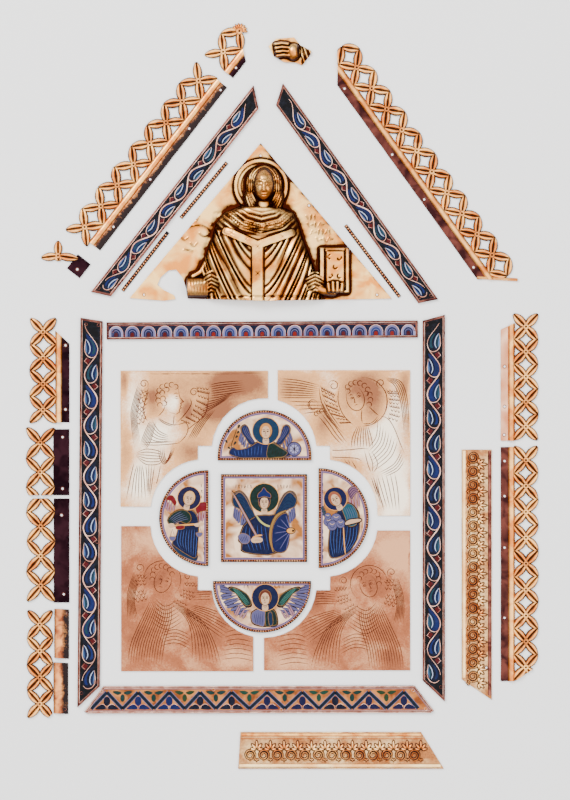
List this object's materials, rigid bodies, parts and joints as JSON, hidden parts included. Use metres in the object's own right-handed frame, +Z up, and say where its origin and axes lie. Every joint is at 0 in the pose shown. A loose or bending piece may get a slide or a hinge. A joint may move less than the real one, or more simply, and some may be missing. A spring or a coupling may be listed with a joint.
{
  "type": "dismantled gable-shaped reliquary",
  "caption": "Metal mounts of a gable-shaped reliquary, laid out flat in their places: enamel frame and plaques, engraved plates, embossed gable figure, pierced crest.",
  "frame": {"origin": "middle of the layout's footprint, on the surface that the pieces lie on", "axes": "+Y towards the gable's point, +X to the viewer's right, +Z up from the surface, towards the viewer of the pieces' fronts"},
  "size_m": [0.462, 0.671, 0.023],
  "materials": {
    "gilt_copper": "worn gilding with brown shadows",
    "engraved_copper": "satin, rosy where the gilding has worn",
    "enamel": "glossy enamel between gilt lines"
  },
  "bodies": {
    "root": {"angel_plate_bottom_left": "engraved_copper", "angel_plate_bottom_right": "engraved_copper", "angel_plate_top_left": "engraved_copper", "angel_plate_top_right": "engraved_copper", "beaded_strip_left_lower": "gilt_copper", "beaded_strip_left_upper": "gilt_copper", "beaded_strip_right": "gilt_copper", "crest_left_eave": "gilt_copper", "crest_left_slope": "gilt_copper", "crest_left_tip": "gilt_copper", "crest_left_upright_1": "gilt_copper", "crest_left_upright_2": "gilt_copper", "crest_left_upright_3": "gilt_copper", "crest_left_upright_4": "gilt_copper", "crest_right_slope": "gilt_copper", "crest_right_upright_1": "gilt_copper", "crest_right_upright_2": "gilt_copper", "edge_strip_left_lower": "gilt_copper", "edge_strip_left_upper": "gilt_copper", "enamel_foot": "enamel", "enamel_side_left": "enamel", "enamel_side_right": "enamel", "enamel_slope_left": "enamel", "enamel_slope_right": "enamel", "enamel_top": "enamel", "gable_plate": "gilt_copper", "hand_fragment": "gilt_copper", "plaque_bottom": "enamel", "plaque_centre": "enamel", "plaque_left": "enamel", "plaque_right": "enamel", "plaque_top": "enamel", "scroll_strip_foot": "gilt_copper", "scroll_strip_right": "gilt_copper"}
  },
  "joints": []
}
